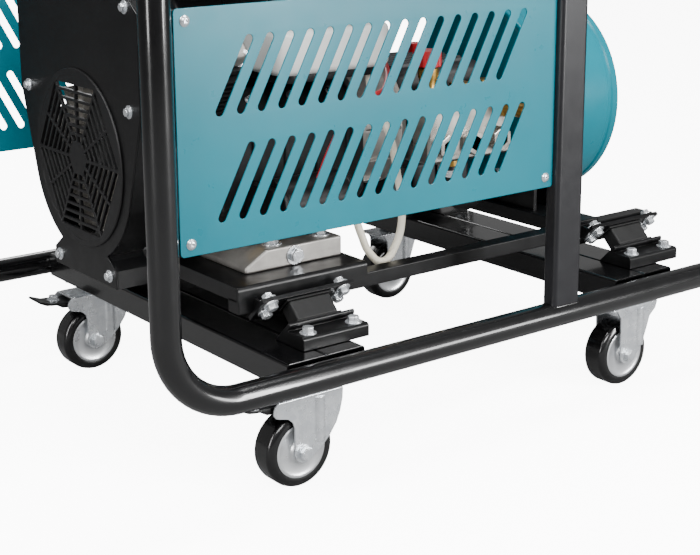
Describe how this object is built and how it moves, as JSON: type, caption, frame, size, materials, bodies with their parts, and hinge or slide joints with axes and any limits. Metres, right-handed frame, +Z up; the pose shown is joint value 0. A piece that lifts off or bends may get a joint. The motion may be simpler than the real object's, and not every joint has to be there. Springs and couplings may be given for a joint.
{
  "type": "pressure washer",
  "caption": "Engine-driven pressure washer in an open tube frame on swivel casters, with louvred side panels, sprung engine cradle, pump and round water drum.",
  "frame": {"origin": "on the ground under the middle of the machine", "axes": "+X from the fan end to the drum end, +Y from the control side to the battery side, +Z up"},
  "size_m": [1.09, 0.716, 0.88],
  "materials": {
    "black_powder_coat": "gloss powder coat",
    "charcoal_paint": "satin paint",
    "teal_paint": "gloss powder coat",
    "zinc_plate": "zinc plated pressing",
    "black_rubber": "moulded rubber",
    "tyre_rubber": "moulded tread on a plated hub",
    "cast_aluminium": "as cast",
    "dark_casting": "painted casting with fins",
    "steel": "machined",
    "brass": "forged and machined",
    "black_plastic": "moulded",
    "pale_cover": "moulded",
    "cream_hose": "smooth hose",
    "red_plastic": "moulded"
  },
  "bodies": {
    "frame": {"side_panel_near": "teal_paint", "side_panel_far": "teal_paint", "upper_frame": "black_powder_coat", "buffer_drum": "teal_paint", "fan_guard": "black_plastic", "cylinder_near": "dark_casting", "cylinder_far": "dark_casting", "bell_housing": "cast_aluminium", "lower_loop_near": "black_powder_coat", "lower_loop_far": "black_powder_coat", "fuel_tank": "black_powder_coat", "pump_manifold": "brass", "blower_housing": "black_powder_coat", "breather_hose": "cream_hose", "suction_hose": "black_plastic", "pump_crankcase": "dark_casting", "engine_cradle": "black_powder_coat", "control_panel": "charcoal_paint", "pressure_gauge": "steel", "engine_crankcase": "cast_aluminium", "starter_motor": "black_powder_coat", "silencer": "charcoal_paint", "air_cleaner": "pale_cover", "caster_plate_front_near": "zinc_plate", "caster_plate_front_far": "zinc_plate", "caster_plate_rear_near": "zinc_plate", "caster_plate_rear_far": "zinc_plate", "post_near": "charcoal_paint", "post_far": "charcoal_paint", "battery": "black_plastic", "battery_tray": "black_powder_coat", "front_crossmember": "black_powder_coat", "rear_crossmember": "black_powder_coat", "mount_bracket_front_near": "black_powder_coat", "mount_bracket_rear_near": "black_powder_coat", "mount_bracket_front_far": "black_powder_coat", "mount_bracket_rear_far": "black_powder_coat", "mount_rubber_front_near": "black_rubber", "mount_rubber_rear_near": "black_rubber", "mount_rubber_front_far": "black_rubber", "mount_rubber_rear_far": "black_rubber"},
    "fork_front_near": {"caster_fork_front_near": "zinc_plate"},
    "wheel_front_near": {"caster_wheel_front_near": "tyre_rubber"},
    "pedal_front_near": {"brake_pedal_front_near": "charcoal_paint"},
    "fork_front_far": {"caster_fork_front_far": "zinc_plate"},
    "wheel_front_far": {"caster_wheel_front_far": "tyre_rubber"},
    "pedal_front_far": {"brake_pedal_front_far": "charcoal_paint"},
    "fork_rear_near": {"caster_fork_rear_near": "zinc_plate"},
    "wheel_rear_near": {"caster_wheel_rear_near": "tyre_rubber"},
    "fork_rear_far": {"caster_fork_rear_far": "zinc_plate"},
    "wheel_rear_far": {"caster_wheel_rear_far": "tyre_rubber"},
    "crank": {"crankshaft": "steel", "flywheel_fan": "cast_aluminium"},
    "pump_rotor": {"pump_shaft": "steel"},
    "unloader": {"unloader_knob": "red_plastic"},
    "key": {"key_switch": "steel"},
    "throttle": {"throttle_lever": "black_plastic"},
    "choke": {"choke_knob": "black_plastic"},
    "tank_cap": {"fuel_cap": "black_plastic"},
    "water_cap": {"drum_cap": "black_plastic"}
  },
  "joints": [
    {"name": "swivel_front_near", "type": "hinge", "parent": "frame", "child": "fork_front_near", "pos_m": [-0.29, -0.277, 0.13], "axis": [0, 0, 1], "continuous": true},
    {"name": "roll_front_near", "type": "hinge", "parent": "fork_front_near", "child": "wheel_front_near", "pos_m": [-0.312, -0.277, 0.05], "axis": [0, 1, 0], "continuous": true},
    {"name": "brake_front_near", "type": "hinge", "parent": "fork_front_near", "child": "pedal_front_near", "pos_m": [-0.324, -0.277, 0.1114], "axis": [0, 1, 0], "range_deg": [-12, 0]},
    {"name": "swivel_front_far", "type": "hinge", "parent": "frame", "child": "fork_front_far", "pos_m": [-0.29, 0.277, 0.13], "axis": [0, 0, 1], "continuous": true},
    {"name": "roll_front_far", "type": "hinge", "parent": "fork_front_far", "child": "wheel_front_far", "pos_m": [-0.312, 0.277, 0.05], "axis": [0, 1, 0], "continuous": true},
    {"name": "brake_front_far", "type": "hinge", "parent": "fork_front_far", "child": "pedal_front_far", "pos_m": [-0.324, 0.277, 0.1114], "axis": [0, 1, 0], "range_deg": [-12, 0]},
    {"name": "swivel_rear_near", "type": "hinge", "parent": "frame", "child": "fork_rear_near", "pos_m": [0.306, -0.277, 0.13], "axis": [0, 0, 1], "continuous": true},
    {"name": "roll_rear_near", "type": "hinge", "parent": "fork_rear_near", "child": "wheel_rear_near", "pos_m": [0.284, -0.277, 0.05], "axis": [0, 1, 0], "continuous": true},
    {"name": "swivel_rear_far", "type": "hinge", "parent": "frame", "child": "fork_rear_far", "pos_m": [0.306, 0.277, 0.13], "axis": [0, 0, 1], "continuous": true},
    {"name": "roll_rear_far", "type": "hinge", "parent": "fork_rear_far", "child": "wheel_rear_far", "pos_m": [0.284, 0.277, 0.05], "axis": [0, 1, 0], "continuous": true},
    {"name": "crank_turn", "type": "hinge", "parent": "frame", "child": "crank", "pos_m": [-0.2, 0, 0.398], "axis": [1, 0, 0], "continuous": true},
    {"name": "pump_turn", "type": "hinge", "parent": "frame", "child": "pump_rotor", "pos_m": [0.1, 0, 0.398], "axis": [1, 0, 0], "continuous": true},
    {"name": "unloader_turn", "type": "hinge", "parent": "frame", "child": "unloader", "pos_m": [0.0526, -0.1083, 0.5], "axis": [0, 0, 1], "range_deg": [-180, 180]},
    {"name": "key_turn", "type": "hinge", "parent": "frame", "child": "key", "pos_m": [0.038, -0.33, 0.744], "axis": [0, 1, 0], "range_deg": [0, 90]},
    {"name": "throttle_turn", "type": "hinge", "parent": "frame", "child": "throttle", "pos_m": [0.012, -0.33, 0.688], "axis": [0, 1, 0], "range_deg": [-30, 30]},
    {"name": "choke_pull", "type": "slide", "parent": "frame", "child": "choke", "axis": [0, -1, 0], "range_m": [0, 0.025]},
    {"name": "fuel_cap_lift", "type": "slide", "parent": "frame", "child": "tank_cap", "axis": [0, 0, 1], "range_m": [0, 0.08]},
    {"name": "drum_cap_lift", "type": "slide", "parent": "frame", "child": "water_cap", "axis": [0, 0, 1], "range_m": [0, 0.08]}
  ],
  "couplings": [
    {"joint": "pump_turn", "follows": "crank_turn", "ratio": 1}
  ]
}
